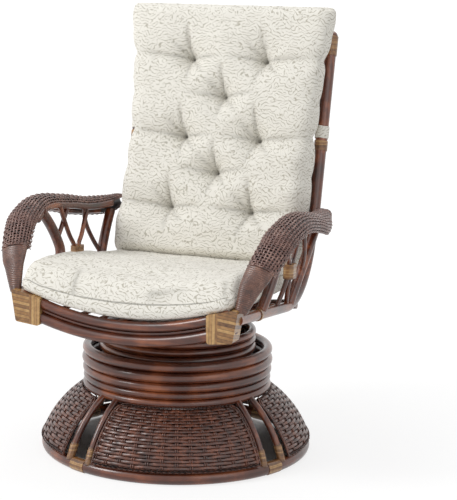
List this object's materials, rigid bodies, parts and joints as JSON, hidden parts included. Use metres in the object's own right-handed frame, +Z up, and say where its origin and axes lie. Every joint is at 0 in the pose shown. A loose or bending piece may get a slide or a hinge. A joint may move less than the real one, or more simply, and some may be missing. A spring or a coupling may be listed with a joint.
{
  "type": "rattan swivel rocking chair",
  "caption": "Swivel rocking chair of bent rattan poles with woven arms, tufted seat and back cushions, and a round pedestal of stacked rings over a woven skirt.",
  "frame": {"origin": "on the floor, on the swivel axis, in the middle of the floor ring", "axes": "+Z up along the swivel axis; the chair faces -Y; +X is to the right of someone looking at its front"},
  "size_m": [0.702, 0.712, 1.0378],
  "materials": {
    "stained_rattan": "glossy dark brown stain and clear lacquer",
    "woven_cane": "satin lacquered brown strands",
    "cane_peel": "satin lacquered golden brown peel",
    "cushion_fabric": "matte chenille with a squiggle print",
    "zinc_steel": "satin zinc plate",
    "washer_nylon": "matte",
    "frame_wood": "sanded, unlacquered"
  },
  "bodies": {
    "base": {"floor_ring": "stained_rattan", "stack_ring_1": "stained_rattan", "stack_ring_2": "stained_rattan", "stack_ring_3": "stained_rattan", "stack_ring_4": "stained_rattan", "stack_ring_5": "stained_rattan", "base_legs": "stained_rattan", "woven_panel_1": "woven_cane", "woven_panel_2": "woven_cane", "woven_panel_3": "woven_cane", "woven_panel_4": "woven_cane", "leg_bindings": "cane_peel", "base_beam_lower": "frame_wood", "base_beam_upper": "frame_wood", "base_plate": "zinc_steel", "plate_bolts": "zinc_steel", "bearing_housing": "zinc_steel", "thrust_washer": "washer_nylon"},
    "swivel": {"spindle": "zinc_steel", "spindle_nut": "zinc_steel", "rocker_yoke": "zinc_steel", "pivot_pin": "zinc_steel", "rocker_springs": "zinc_steel"},
    "seat": {"rocker_bracket": "zinc_steel", "seat_boards": "frame_wood", "board_bolts": "zinc_steel", "drum_ring_1": "stained_rattan", "drum_ring_2": "stained_rattan", "drum_ring_3": "stained_rattan", "seat_cross_rails": "stained_rattan", "inner_front_rail": "stained_rattan", "seat_slats": "stained_rattan", "front_rail_top": "stained_rattan", "front_rail_thin": "stained_rattan", "front_rail_low": "stained_rattan", "back_cross_rails": "stained_rattan", "back_canes": "stained_rattan", "post_bindings": "cane_peel", "cushion_straps": "cushion_fabric", "seat_cushion": "cushion_fabric", "back_cushion": "cushion_fabric", "side_rail_right": "stained_rattan", "side_rail_left": "stained_rattan", "back_post_right": "stained_rattan", "back_post_left": "stained_rattan", "corner_binding_right": "cane_peel", "corner_binding_left": "cane_peel", "arm_front_right": "woven_cane", "arm_front_left": "woven_cane", "arm_band_right": "woven_cane", "arm_band_left": "woven_cane", "arm_poles_right": "stained_rattan", "arm_poles_left": "stained_rattan", "arm_supports_right": "stained_rattan", "arm_supports_left": "stained_rattan", "side_canes_right": "stained_rattan", "side_canes_left": "stained_rattan", "cane_binding_right": "cane_peel", "cane_binding_left": "cane_peel"}
  },
  "joints": [
    {"name": "swivel", "type": "hinge", "parent": "base", "child": "swivel", "pos_m": [0, 0, 0.2], "axis": [0, 0, 1], "continuous": true},
    {"name": "rock", "type": "hinge", "parent": "swivel", "child": "seat", "pos_m": [0, 0, 0.24], "axis": [1, 0, 0], "range_deg": [-10, 8], "stiffness_Nm_per_rad": 420, "springref_deg": 1.15, "deforming": ["rocker_springs"]}
  ]
}
